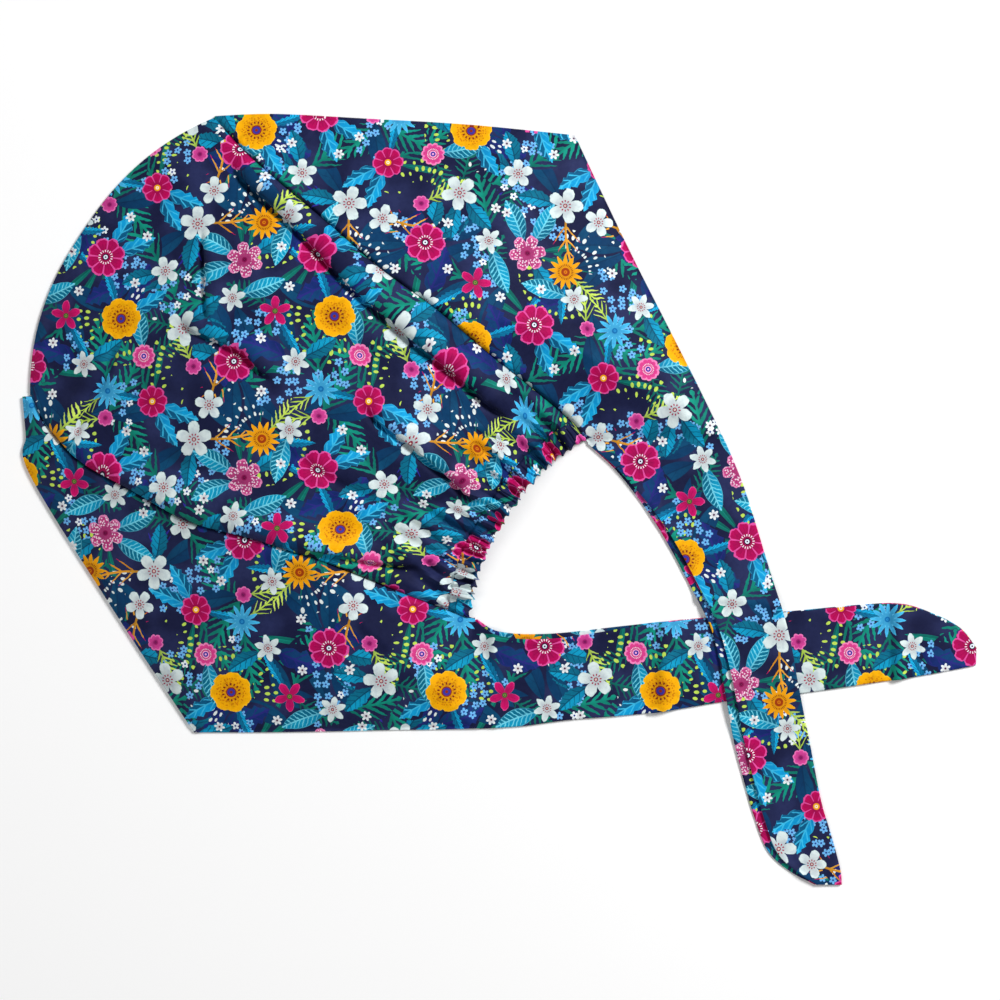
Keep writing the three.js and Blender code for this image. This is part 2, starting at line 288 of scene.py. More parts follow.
# Height of the upper layer's middle above the floor.
def liftAt(points):
    points = np.asarray(points, float)
    fromEdge = fromLines(points, lowEdges)
    fromNape = nearest(points, napeLine)[0]
    awayR, _, signR, _ = nearest(points, seamLineR)
    awayL, alongL, signL, _ = nearest(points, seamLineL)
    crownR, crownL = -awayR * signR, awayL * signL  # positive on the crown's side
    crownEdge = np.minimum(crownR, crownL)
    pastCorner = smooth((points[:, 0] - cap["edgeR"][cap["corner"]][0]) / 5)
    rim = cap["rimHeight"] + (cap["freeHeight"] - cap["rimHeight"]) * pastCorner
    rim += (cap["rootHeight"] - rim) * bell(fromLines(points, roots) / 9)
    fromRim = np.maximum(0, fromEdge - 0.3 - 1.0 * pastCorner)
    roll = cap["rollHeight"] * (1 - np.exp(-fromRim / cap["rollLength"]))
    pull = 1 - cap["napeDrop"] * np.exp(-fromNape / cap["napeReach"])
    dome = cap["domeHeight"] * smooth(fromEdge / cap["domeReach"]) * pull
    onCrown = smooth(crownEdge / 3)
    detail = creasesAt(points)
    detail += gathersAt(points, fromNape) * smooth(crownEdge / 6 + 0.35)
    # the cloth swells beside both seams, and along the left one the crown lies puffed over the band
    for fromSeam, swells in ((crownR, cap["swellsR"]), (crownL, cap["swellsL"])):
        for amount, at, width in swells:
            detail += amount * bell((fromSeam - at) / width)
    puff = puffAt(alongL, 0.9)
    detail += cap["puff"] * puff * bell((crownL - 4.0) / np.where(crownL < 4.0, 2.6, 6))
    halfR, halfL, halfNape = cap["ditchHalf"]
    slot = bell(crownR / halfR) + (1 + 0.5 * puff) * bell(crownL / halfL)
    slot += 0.55 * bell((fromNape - 0.3) / halfNape) * onCrown
    # small puckers along both seams, and soft wrinkles all over
    pucker = np.sin(points[:, 0] * 1.35 + 1.3 * noiseAt(points, 17, 3))
    detail += cap["pucker"] * pucker * (np.exp(-np.abs(crownR) / 4) + np.exp(-np.abs(crownL) / 4))
    for amount, size, stretch, seed in cap["wrinkles"]:
        detail += amount * noiseAt(points * stretch, size, seed)
    calm = 0.55 + 0.45 * onCrown
    height = rim + roll + dome + detail * smooth((fromEdge - 0.4) / 14) * calm
    return height - np.minimum(cap["ditch"] * slot, 0.6 * (height - rim) + 0.25)


# Where the print lies on a piece, in decimetres of cloth. The cloth is cut a quarter turn
# either way from the right panel's, and the elastic draws its width in at the nape.
def printTurn(points, quarter, squash=True):
    points = np.asarray(points, float)
    x, y = points[:, 0], points[:, 1].copy()
    if quarter == 1 and squash:
        fromNape = nearest(points, napeLine)[0]
        y = y * (1 + 0.55 * np.exp(-fromNape / 26))
    grain = math.radians(cap["grain"])
    u = x * math.cos(grain) + y * math.sin(grain)
    v = -x * math.sin(grain) + y * math.cos(grain)
    if quarter == 1:
        u, v = v, -u
    elif quarter == -1:
        u, v = -v, u
    return np.stack([u, v], axis=1) / 100


# Which points lie inside a closed line.
def insideOf(points, closed):
    inside = np.zeros(len(points), bool)
    for a, b in zip(closed[:-1], closed[1:]):
        if a[1] != b[1]:
            crosses = (a[1] > points[:, 1]) != (b[1] > points[:, 1])
            at = a[0] + (points[:, 1] - a[1]) * (b[0] - a[0]) / (b[1] - a[1])
            inside ^= crosses & (points[:, 0] < at)
    return inside


# Even triangles inside an outline: points and faces. A fine one has rings along the outline.
def sheetMesh(outline, pitch, fine=False):
    outline = np.asarray(outline, float)
    low, high = outline.min(0), outline.max(0)
    rows = []
    for k, y in enumerate(np.arange(low[1], high[1], pitch * 0.866)):
        x = np.arange(low[0] + (k % 2) * pitch / 2, high[0], pitch)
        rows.append(np.stack([x, np.full(len(x), y)], axis=1))
    lattice = np.concatenate(rows)
    closed = np.concatenate([outline, outline[:1]])
    lattice = lattice[insideOf(lattice, closed)]
    rings = cap["rings"] if fine else ()
    clear = rings[-1] + 0.55 * pitch if fine else 0.45 * pitch
    lattice = lattice[nearest(lattice, closed)[0] > clear]
    step = np.roll(outline, -1, axis=0) - np.roll(outline, 1, axis=0)
    inward = np.stack([-step[:, 1], step[:, 0]], axis=1)
    inward /= np.maximum(np.linalg.norm(step, axis=1), 1e-6)[:, None]
    following = np.roll(outline, -1, axis=0)
    turning = np.sum(outline[:, 0] * following[:, 1] - following[:, 0] * outline[:, 1])
    inward = inward if turning > 0 else -inward
    for k, depth in enumerate(rings):
        ring = (outline + inward * depth)[k % 2:]
        lattice = np.concatenate([lattice, ring[nearest(ring, closed)[0] > 0.93 * depth]])
    given = [Vector(p) for p in np.concatenate([outline, lattice])]
    ring = list(range(len(outline)))
    points, _, faces, *_ = delaunay_2d_cdt(given, [], [ring], 1, 1e-5)
    return np.array([tuple(p) for p in points]), [tuple(f) for f in faces]


# One mesh object from parts of (points in mm, faces, print places), welded where they meet.
def makePiece(name, parts):
    mesh = bpy.data.meshes.new(name)
    points, faces, places, start = [], [], [], 0
    for partPoints, partFaces, partPlaces in parts:
        points.append(partPoints)
        places.append(partPlaces)
        faces += [tuple(start + i for i in f) for f in partFaces]
        start += len(partPoints)
    points, places = np.concatenate(points), np.concatenate(places)
    points = points * mm
    points[:, :2] += shift * mm
    mesh.from_pydata(points.tolist(), [], faces)
    layer = mesh.uv_layers.new(name="printPlace")
    loops = np.zeros(len(mesh.loops), np.int32)
    mesh.loops.foreach_get("vertex_index", loops)
    layer.data.foreach_set("uv", places[loops].astype(np.float32).ravel())
    piece = bpy.data.objects.new(name, mesh)
    bpy.context.scene.collection.objects.link(piece)
    work = bmesh.new()
    work.from_mesh(mesh)
    bmesh.ops.remove_doubles(work, verts=work.verts, dist=cap["weld"] * mm)
    bmesh.ops.recalc_face_normals(work, faces=work.faces)
    highest = sorted(work.faces, key=lambda face: -face.calc_center_median().z)[:400]
    if sum(face.normal.z for face in highest) < 0:
        bmesh.ops.reverse_faces(work, faces=work.faces)
    work.to_mesh(mesh)
    work.free()
    return piece


# Gives the sheet its thickness; what was its under side takes the second material.
def thicken(piece, thickness):
    wall = piece.modifiers.new("cloth", "SOLIDIFY")
    wall.thickness = thickness * mm
    wall.offset = 0
    wall.use_even_offset = False
    wall.material_offset = 1
    bpy.ops.object.select_all(action="DESELECT")
    bpy.context.view_layer.objects.active = piece
    piece.select_set(True)
    bpy.ops.object.modifier_apply(modifier=wall.name)
    bpy.ops.object.shade_smooth_by_angle(angle=math.radians(48))
    piece.select_set(False)


def gridFaces(rows, columns):
    corners = [i * columns + j for i in range(rows - 1) for j in range(columns - 1)]
    return [(at, at + columns, at + columns + 1, at + 1) for at in corners]


# Unit normals of a line that point away from a place inside.
def outwardOf(line, inside):
    step = np.gradient(line, axis=0)
    normal = unit(np.stack([step[:, 1], -step[:, 0]], axis=1))
    facing = np.sum(normal * (line - np.asarray(inside, float)), axis=1)
    return normal * np.where(facing < 0, -1, 1)[:, None]


# A fold rolled from the upper layer, inside the line, down to the lower one, and the line where it
# leaves the upper one. Its first and last row lie on the two layers.
def foldStrip(line, quarter, rows=8):
    outward = outwardOf(line, cap["middle"]) * cap["foldRadius"]
    inner = line - outward
    top = liftAt(inner)
    middle, half = (top + cap["floorHeight"]) / 2, (top - cap["floorHeight"]) / 2
    points = []
    for k in range(rows):
        angle = math.pi * (0.5 - k / (rows - 1))
        flat = inner + outward * max(0.0, math.cos(angle))
        points.append(np.column_stack([flat, middle + half * math.sin(angle)]))
    places = np.tile(printTurn(inner, quarter), (rows, 1))
    return (np.concatenate(points), gridFaces(rows, len(line)), places), inner


def upperLayer(outline, quarter):
    points, faces = sheetMesh(outline, cap["pitch"], True)
    return np.column_stack([points + leanAt(points), liftAt(points)]), faces, printTurn(points, quarter)


def lowerLayer(outline, quarter, pitch):
    points, faces = sheetMesh(outline, pitch)
    flat = np.column_stack([points, np.full(len(points), cap["floorHeight"])])
    return flat, faces, printTurn(points, quarter, False)


# A line underneath, where one lower layer ends.
def hiddenLine(key):
    return evenly(splineAt(cap[key], np.linspace(0, len(cap[key]) - 1, 60)), 2.0)


# The crown: the upper layer between the seams, rolled under at the far end.
def makeCrown():
    fold, inner = foldStrip(crownLine(0, 1.2), 1)
    nape = cap["nape"]
    seamR, seamL = side("seamR", 0, nape), side("seamL", 0, nape)
    outline = np.concatenate([inner, seamL[1:], crownLine(nape)[::-1][1:], seamR[::-1][1:-1]])
    strip = np.concatenate([inner, hiddenLine("hiddenSeam")[::-1]])
    return makePiece("crown_cloth", [upperLayer(outline, 1), lowerLayer(strip, 1, 1.8), fold])


# The band: both side panels with their folds, and the forehead panel that joins them underneath.
def makeBand():
    parts = []
    inners = {}
    for key, quarter in (("R", 0), ("L", -1)):
        fold, inner = foldStrip(side("edge" + key, 0, cap["corner"], 1.2), quarter)
        inners[key] = inner
        free = side("edge" + key, cap["corner"], cap["last"], 1.1)
        seam = side("seam" + key, 0, cap["last"])
        root = evenly([seam[-1], free[-1]], 1.1)
        root = root + outwardOf(root, cap["middle"]) * cap["rootLap"]  # laps over the tie's end
        outline = np.concatenate([inner, free[1:], root[::-1], seam[::-1][:-1]])
        parts += [upperLayer(outline, quarter), fold]
    plate = np.concatenate([inners["R"][::-1], hiddenLine("hiddenSeam"), inners["L"],
                            hiddenLine("hiddenBrow")[::-1]])
    parts.append(lowerLayer(plate, 0, 2.2))
    return makePiece("band_cloth", parts)


casing = {
    "width": 10.4,
    "mouth": (60, 0),  # a place that its free edge faces
    "ruffles": 26,
    "seed": 11,
    "depth": 0.9,  # half the height of a ruffle at the free edge
    "lean": 0.6,  # how far a ruffle leans over its neighbour
    "elastic": 0.85,  # half the thickness at the elastic
    "gathered": 1.75,  # how much longer its cloth is than the elastic, for the print
    "cloth": 0.5,
    "along": 560,  # the mesh's points
    "across": 22,
}


# The casing: one tube, flat and ruffled, from the stitches out to the free edge and back below.
def makeCasing():
    rnd = np.random.RandomState(casing["seed"])
    count, around = casing["along"], casing["across"]
    line = evenly(crownLine(cap["nape"]), 0.2)
    share = np.linspace(0, 1, count)
    line = np.stack([np.interp(share * (len(line) - 1), np.arange(len(line)), line[:, k])
                     for k in range(2)], axis=1)
    out = -outwardOf(line, casing["mouth"])
    # the ends turn along the band's own ends
    for key, fromEnd in (("seamR", share), ("seamL", 1 - share)):
        end = np.array(cap[key][cap["last"]], float) - np.array(cap[key][cap["nape"]], float)
        weight = (1 - smooth(fromEnd / 0.1))[:, None]
        out = out * (1 - weight) + unit(end[None]) * weight
    out = unit(out)
    tangent = unit(np.gradient(line, axis=0))
    knots = np.cumsum(rnd.uniform(0.6, 1.4, casing["ruffles"] + 1))
    knots = (knots - knots[0]) / (knots[-1] - knots[0])
    phase = 2 * math.pi * np.interp(share, knots, np.arange(casing["ruffles"] + 1))
    strength = np.interp(share, np.linspace(0, 1, 24), rnd.uniform(0.45, 1.25, 24))
    strength *= 0.25 + 0.75 * smooth(share / 0.04) * smooth((1 - share) / 0.04)
    start = np.maximum(liftAt(line), 2.0)
    reachOut = casing["width"] * (0.97 + 0.075 * np.sin(phase + 0.6) * strength
                                  + 0.03 * np.sin(0.37 * phase + 1.7))
    sharpened = np.sin(phase) + 0.28 * np.sin(2 * phase + 0.9) + 0.16 * np.sin(3 * phase + 2.1)
    rows, places = [], []
    for k in range(2 * around + 1):
        under = k > around
        across = (2 * around - k if under else k) / around  # 0 at the stitches, 1 at the free edge
        rounded = math.sqrt(max(0.0, 1 - max(0.0, across - 0.86) ** 2 / 0.14**2))
        half = casing["elastic"] * rounded * (smooth(across / 0.1) * 0.8 + 0.2)
        rise = casing["depth"] * strength * sharpened * (0.3 + 0.7 * across**1.2)
        rise += 0.22 * np.sin(phase * 3.3 + across * 2.0) * smooth(across / 0.3)
        lean = casing["lean"] * strength * np.sin(phase + 1.3) * across**1.5
        lean += 0.35 * np.sin(across * 5 + phase * 0.37) * across
        flat = line + out * (reachOut * across)[:, None] + tangent * lean[:, None]
        height = start - 0.8 * across + rise + (-half if under else half)
        height -= 0.45 * (1 - smooth(across / 0.09))  # drawn in along the stitches
        rows.append(np.column_stack([flat, np.maximum(height, 0.45)]))
        cloth = line * (1, casing["gathered"])
        cloth[:, 0] += across * 10 * (-1 if under else 1)
        places.append(printTurn(cloth, 1, False))
    faces = gridFaces(len(rows), count)
    return makePiece("casing_cloth", [(np.concatenate(rows), faces, np.concatenate(places))])


ties = {
    "right": {
        "inner": [(18.3, 45), (38, 41), (65, 30.5), (91.5, 16), (110, 4.5), (125.1, -10.2),
                  (143, -29.5), (160, -45.5), (172, -56), (185, -65.3), (198, -67.7), (211, -66.7)],
        "outer": [(69.3, 78.9), (80, 71.6), (92.7, 62), (116.3, 41.9), (139, 22.3), (155.4, 5),
                  (173, -13.1), (192, -33), (204, -43.5), (213, -51.5), (218, -56.5), (221, -60.5)],
        "inset": [0.0, 1.2, 2.8, 3.4, 3.4, 4.2, 4.6, 4.6, 4.4, 4.0, 3.0, 0.8],
        "quarter": 0,
        "dents": [{"line": [(100, 13), (137, 30)], "depth": 0.7, "width": 1.8}],
    },
    "left": {
        "inner": [(17.3, -48.8), (30.5, -47.8), (50, -36.4), (76.5, -15.2), (96, 0.5),
                  (133.3, 28.8), (160.4, 49.9), (175.6, 60.2), (190, 64.2), (203.8, 65.3), (214.5, 61.8)],
        "outer": [(46.1, -89.2), (62, -77.5), (78, -64), (107.6, -41.2), (132.2, -19.5),
                  (158.3, 1.5), (179.6, 20), (193, 31.5), (204, 41.5), (213, 50), (218.5, 55.3)],
        "inset": [1.2, 2.0, 2.2, 1.0, 0.3, 0.3, 0.3, 0.4, 0.4, 0.4, 0.3],
        "quarter": -1,
        "dents": [{"line": [(20, -47), (46, -88)], "depth": 2.4, "width": 3.6},
                  {"line": [(86, -8), (105, -38)], "depth": 2.4, "width": 4.0},
                  {"line": [(170, 56), (189, 27)], "depth": 2.2, "width": 3.8}],
    },
    "thickness": 0.5,
    "upperPly": 1.12,  # heights of the plies' middles and of the hem's
    "lowerPly": 0.3,
    "hem": 0.62,
    "hemReach": 3.0,  # how far the hem runs in under the upper ply's edge
    "bulge": 0.75,  # how far that edge stands up where it lies back from the hem
    "turnedEdge": [(2.4, 0.62), (1.2, 0.6), (0.45, 0.5), (0.12, 0.3)],  # back from that edge, and down
    "roll": 0.4,  # radius of the folds at the sides
    "step": 1.25,
    "columns": 30,
    "crossing": (129.5, 5.0),
    "crossingReach": 21.0,
    "crossingLift": 1.7,
    "crossingFlat": (26, 34),  # the tie below lies flat within the first distance
    "wave": 0.21,  # how high the wrinkles stand on the whole
    "wrinkles": [(0.35, 26, 5), (0.12, 7, 6)],  # height, size, seed
    "lowerPrint": (37, 14),  # where the print of the lower ply and of the hem starts
    "hemPrint": (-21, 26),
}


# Where this frame puts the tables: their extremes are the CAD nodes' own.
shift = np.array([
    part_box("tie_right")[1].x / mm - max(x for x, _ in ties["right"]["outer"]),
    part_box("front_band")[0].y / mm - min(y for _, y in cap["edgeL"]),
])


# A tie: two plies folded together, with the upper one's edge lying on a hem of the lower one.
def makeTie(name, tie, lifted):
    middle = (np.array(tie["inner"]) + np.array(tie["outer"])) / 2
    rowCount = int(round(np.sum(stepsOf(middle)) / ties["step"]))
    places = np.linspace(0, len(middle) - 1, rowCount)
    inner, outer = splineAt(tie["inner"], places), splineAt(tie["outer"], places)
    inset = splineAt(tie["inset"], places)[:, 0]
    width = np.linalg.norm(outer - inner, axis=1)
    across = unit(outer - inner)
    rows, prints = [], []

    def lay(distance, height, printShift=(0, 0)):  # one row, at a distance from the inner edge
        flat = inner + across * np.broadcast_to(distance, (rowCount,))[:, None]
        rows.append(np.column_stack([flat, np.broadcast_to(height, (rowCount,))]))
        prints.append(printTurn(flat + printShift, tie["quarter"], False))

    top, bottom, hem, roll = (ties[key] for key in ("upperPly", "lowerPly", "hem", "roll"))
    bulge = ties["bulge"] * smooth(inset / 2.4)
    hemWidth = np.minimum(inset + ties["hemReach"], 0.4 * width)
    for back, drop in ties["turnedEdge"]:
        lay(inset + back, top + bulge * (1 - 0.75 * drop) - 0.45 * drop)
    for share in np.linspace(0, 1, ties["columns"]) ** 1.25:  # the upper ply, from that edge on
        lay(inset + (width - roll - inset) * share, top + bulge * bell((width - inset) * share / 3.4))
    for k in range(1, 6):  # the outer fold
        angle = math.pi * (0.5 - k / 6)
        lay(width - roll + roll * math.cos(angle),
            (top + bottom) / 2 + (top - bottom) / 2 * math.sin(angle))
    for share in np.linspace(1, 0, ties["columns"]):  # the lower ply, back to the inner edge
        lay(roll + (width - 2 * roll) * share, bottom, ties["lowerPrint"])
    for k in range(1, 5):
        angle = math.pi * (0.5 + k / 5)
        lay(roll + roll * math.cos(angle), (hem + bottom) / 2 - (hem - bottom) / 2 * math.sin(angle),
            ties["hemPrint"])
    for share in np.linspace(0, 1, 7):  # the hem turned up on it
        lay(roll + (hemWidth - roll) * share, hem - 0.04 * share, ties["hemPrint"])
    points = np.concatenate(rows)
    flat = points[:, :2]
    wave = ties["wave"] + sum(amount * noiseAt(flat, *of) for amount, *of in ties["wrinkles"])
    away = np.linalg.norm(flat - np.array(ties["crossing"]), axis=1)
    if lifted:
        reach = ties["crossingReach"]
        points[:, 2] += ties["crossingLift"] * smooth((2.05 * reach - away) / reach)
    else:
        near, far = ties["crossingFlat"]
        wave = wave * smooth((away - near) / (far - near))
    for dent in tie["dents"]:
        away, _, sign, _ = nearest(flat, dent["line"])
        share = away * sign / dent["width"]
        wave += dent["depth"] * (bell(share - 1.4) - 0.6 * bell(share))
    settled = smooth(np.tile(places, len(rows)) / 1.2)  # the root meets the band at its height
    points[:, 2] += np.maximum(wave, 0) * smooth(points[:, 2] / 0.5) * settled
    faces = gridFaces(len(rows), rowCount)
    return makePiece(name, [(points, faces, np.concatenate(prints))])


# One operator of a Value; a swapped one has the value on its right.
def sumOf(operation, swapped=False):
    def work(value, other):
        first, second = (other, value) if swapped else (value, other)
        return value.finish.maths(operation, first, second)
    return work


# A socket that takes part in sums and comparisons. The bar gives the larger of two.
class Value:
    def __init__(self, finish, socket):
        self.finish, self.socket = finish, socket

    __add__ = __radd__ = sumOf("ADD")
    __sub__ = sumOf("SUBTRACT")
    __rsub__ = sumOf("SUBTRACT", True)
    __mul__ = __rmul__ = sumOf("MULTIPLY")
    __truediv__ = sumOf("DIVIDE")
    __pow__ = sumOf("POWER")
    __lt__ = sumOf("LESS_THAN")
    __gt__ = sumOf("GREATER_THAN")
    __or__ = sumOf("MAXIMUM")

    def __abs__(self):
        return self.finish.maths("ABSOLUTE", self)


# A material that is written as sums on its nodes' sockets.
class Finish:
    def __init__(self, name):
        self.material = bpy.data.materials.new(name)
        self.material.use_nodes = True
        self.tree = self.material.node_tree
        self.tree.nodes.clear()

    def add(self, kind, settings=None, inputs=None, output=0):
        node = self.tree.nodes.new(kind)
        for key, value in (settings or {}).items():
            if key == "stops":
                node.color_ramp.interpolation = "CONSTANT" if value[0] else "LINEAR"
                ramp = node.color_ramp.elements
                while len(ramp) < len(value[1]):
                    ramp.new(1.0)
                for element, stop in zip(ramp, value[1]):
                    element.position = stop[0]
                for element, stop in zip(ramp, value[1]):  # once all the stops are in order
                    element.color = (*stop[1][:3], 1)
            else:
                setattr(node, key, value)
        for key, value in (inputs or {}).items():
            if isinstance(value, Value):
                self.tree.links.new(value.socket, node.inputs[key])
            else:
                node.inputs[key].default_value = value
        return Value(self, node.outputs[output]) if node.outputs else None

    def maths(self, operation, *inputs):
        return self.add("ShaderNodeMath", {"operation": operation}, dict(enumerate(inputs)))

    def vector(self, operation, *inputs, output=0):
        inputs = dict(enumerate(inputs))
        return self.add("ShaderNodeVectorMath", {"operation": operation}, inputs, output)

    def mix(self, first, second, factor):
        return self.add("ShaderNodeMix", {"data_type": "RGBA"}, {0: factor, 6: first, 7: second}, 2)

    def mixVector(self, first, second, factor):
        return self.add("ShaderNodeMix", {"data_type": "VECTOR"}, {0: factor, 4: first, 5: second}, 1)

    def darker(self, colour, amount):
        return self.vector("MULTIPLY", colour, amount)

    def output(self, value, name):  # another output of a value's node
        return Value(self, value.socket.node.outputs[name])

    def split(self, value, kind="XYZ"):
        node = self.add("ShaderNodeSeparate" + kind, {}, {0: value}).socket.node
        return [Value(self, socket) for socket in node.outputs]

    def ramp(self, factor, stops, stepped=False):
        return self.add("ShaderNodeValToRGB", {"stops": (stepped, stops)}, {0: factor})

    # A colour for each row of a table, at a share of its rows.
    def looked(self, share, table, pick):
        stops = [(k / len(table), pick(row)) for k, row in enumerate(table)]
        return self.ramp(share, stops, True)

    # Up to three columns of it, each given with the most that it may hold.
    def columns(self, share, table, *wanted):
        picked = self.looked(share, table, lambda row: (*(row[n] / most for n, most in wanted), 0, 0))
        parts = zip(self.split(picked, "Color"), wanted)
        return [part * most if most > 1 else part for part, (_, most) in parts]

    def paints(self, share, table, count):
        return [self.looked(share, table, lambda row, n=n: tone(row[-1].split()[n])) for n in range(count)]

    def voronoi(self, place, scale, randomness=1.0):
        return self.add("ShaderNodeTexVoronoi", {"voronoi_dimensions": "2D"},
                        {"Vector": place, "Scale": scale, "Randomness": randomness})

    def polar(self, x, y):  # distance, and the turn as a share of a full one
        turn = self.maths("ARCTAN2", y, x) / (2 * math.pi)
        return self.maths("SQRT", x * x + y * y), turn

    def offMiddle(self, value):  # 0 in the middle of each whole number's part, 1 at its ends
        return abs(self.maths("FRACT", value) - 0.5) * 2

    def printPlace(self):  # in millimetres of cloth
        uv = self.add("ShaderNodeUVMap", {"uv_map": "printPlace"})
        return self.vector("MULTIPLY", uv, (100.0, 100.0, 0.0))

    # The way from the nearest copy of a place on the repeat. A motif's code rides in z.
    def fromSpot(self, place, x, y, code=0.0):
        half = blossoms["tile"] / 2
        offset = self.vector("SUBTRACT", place, (x, y, -code))
        return self.vector("WRAP", offset, (half, half, 1.0), (-half, -half, -1.0))

    def noise(self, place, scale, detail):
        return self.add("ShaderNodeTexNoise", {"noise_dimensions": "2D"},
                        {"Vector": place, "Scale": scale, "Detail": detail})

    def between(self, value, low, high):
        return self.add("ShaderNodeMapRange", {"interpolation_type": "SMOOTHSTEP"},
                        {0: value, 1: low, 2: high, 3: 0.0, 4: 1.0})


# A paint's colour, from its hexadecimal code, in linear light.
def tone(code):
    parts = [int(code[k:k + 2], 16) / 255 for k in (0, 2, 4)]
    return (*(p / 12.92 if p <= 0.04045 else ((p + 0.055) / 1.055) ** 2.4 for p in parts), 1.0)


# The print, in millimetres of cloth: blossoms over leaves over fronds on a navy ground
blossoms = {
    "tile": 96.0,
    # radius; petals, how deep they are cut and how round their ends are; centre and eye; width of
    # the rim; ticks, stipple and the lines between petals; paints of petal, rim, centre, eye, ticks
    "kinds": {
        "crimson": (9.0, 8, 0.84, 2.6, 0.17, 0.11, 0.09, 1, 0, 1, "b80058 e44fa0 3a1030 e8f4ff ffe9f4"),
        "golden": (7.0, 8, 0.86, 2.4, 0.21, 0.11, 0.09, 0, 0, 1, "bc0056 dc4a98 f7a800 fff3d8 8c0038"),
        "poppy": (9.3, 7, 0.88, 2.2, 0.25, 0.19, 0.05, 1, 1, 0, "f9b000 ffc21a 8a2a10 3a359c 7a1c14"),
        "blossom": (8.1, 5, 0.38, 2.4, 0.12, 0.06, 0.04, 1, 0, 0, "dcebea c8dede 8c1c3c f2e6d8 a01c40"),
        "blossomSmall": (6.6, 5, 0.38, 2.4, 0.13, 0.06, 0.04, 1, 0, 0, "e0efee c8e0e0 8c1c3c f2e6d8 a01c40"),
        "starWhite": (6.2, 6, 0.44, 1.4, 0.12, 0.05, 0.04, 1, 0, 0, "deedec c8e0e0 8a2038 f2e6d8 9a2440"),
        "daisy": (8.0, 12, 0.42, 1.15, 0.16, 0.07, 0.02, 0, 0, 1, "45bdf0 6ed2f8 0e6fae 2a90cc 0e5f98"),
        "sunflower": (8.0, 13, 0.52, 1.1, 0.24, 0.10, 0.02, 1, 0, 0, "f9a80a ffbe24 a03a08 d87a08 7c2a08"),
        "speckled": (8.2, 6, 0.55, 2.7, 0.15, 0.08, 0.10, 0, 2, 1, "c03f80 e282b4 8c0e50 5a0838 f8d0e4"),
        "violetEye": (5.3, 11, 0.86, 2.2, 0.30, 0.22, 0.16, 1, 0, 0, "e0408e f283bb ffb0d8 4632a0 ffe9f4"),
        "cerise": (7.0, 5, 0.26, 1.7, 0.17, 0.10, 0.05, 0, 0, 1, "cc0a66 e24a90 3c5a2c 7c8a3c 6a0838"),
        "pinkSmall": (3.7, 8, 0.84, 2.2, 0.30, 0.14, 0.16, 0, 0, 0, "d84398 ea74b6 a01e6c 6a1450 ffe9f4"),
        "yellowSmall": (4.2, 7, 0.86, 2.4, 0.20, 0.12, 0.10, 0, 0, 0, "f9b000 ffc62a c87808 7a3808 ffe9f4"),
        "tiny": (2.4, 6, 0.45, 1.6, 0.20, 0.10, 0.05, 0, 0, 0, "f4fafa e4f2f4 5a2c48 4a3058 ffe9f4"),
    },
    # middle of a ring of seeds, and the directions of the lime and the white ones as shares of a turn
    "seeds": [(83, 72, 0.4, 0.85), (29, 8, 0.62, 0.12), (61, 38, 0.25, 0.78)],
    # place on the tile, kind, turn as a share of a full one
    "chart": [
        (15, 80, "crimson", 0.02), (63, 20, "crimson", 0.08), (46, 57, "golden", 0.05),
        (83, 72, "poppy", 0.03), (29, 38, "blossom", 0.1), (44, 31, "blossomSmall", 0.3),
        (78, 43, "blossom", 0.37), (8, 52, "blossomSmall", 0.05), (91, 21, "starWhite", 0.12),
        (33, 92, "starWhite", 0.4), (63, 89, "starWhite", 0.22), (12, 16, "speckled", 0.06),
        (51, 78, "daisy", 0.05), (29, 8, "sunflower", 0.02), (85, 2, "cerise", 0.1),
        (66, 61, "violetEye", 0.1), (39, 79, "pinkSmall", 0.2), (61, 38, "yellowSmall", 0.0),
        (3, 66, "tiny", 0.2), (24, 61, "tiny", 0.1), (33, 69, "tiny", 0.3), (94, 36, "tiny", 0.2),
        (73, 8, "tiny", 0.1), (50, 8, "tiny", 0.25), (3, 34, "tiny", 0.1), (96, 92, "tiny", 0.3),
        (73, 29, "tiny", 0.15), (18, 96, "tiny", 0.1),
    ],
}
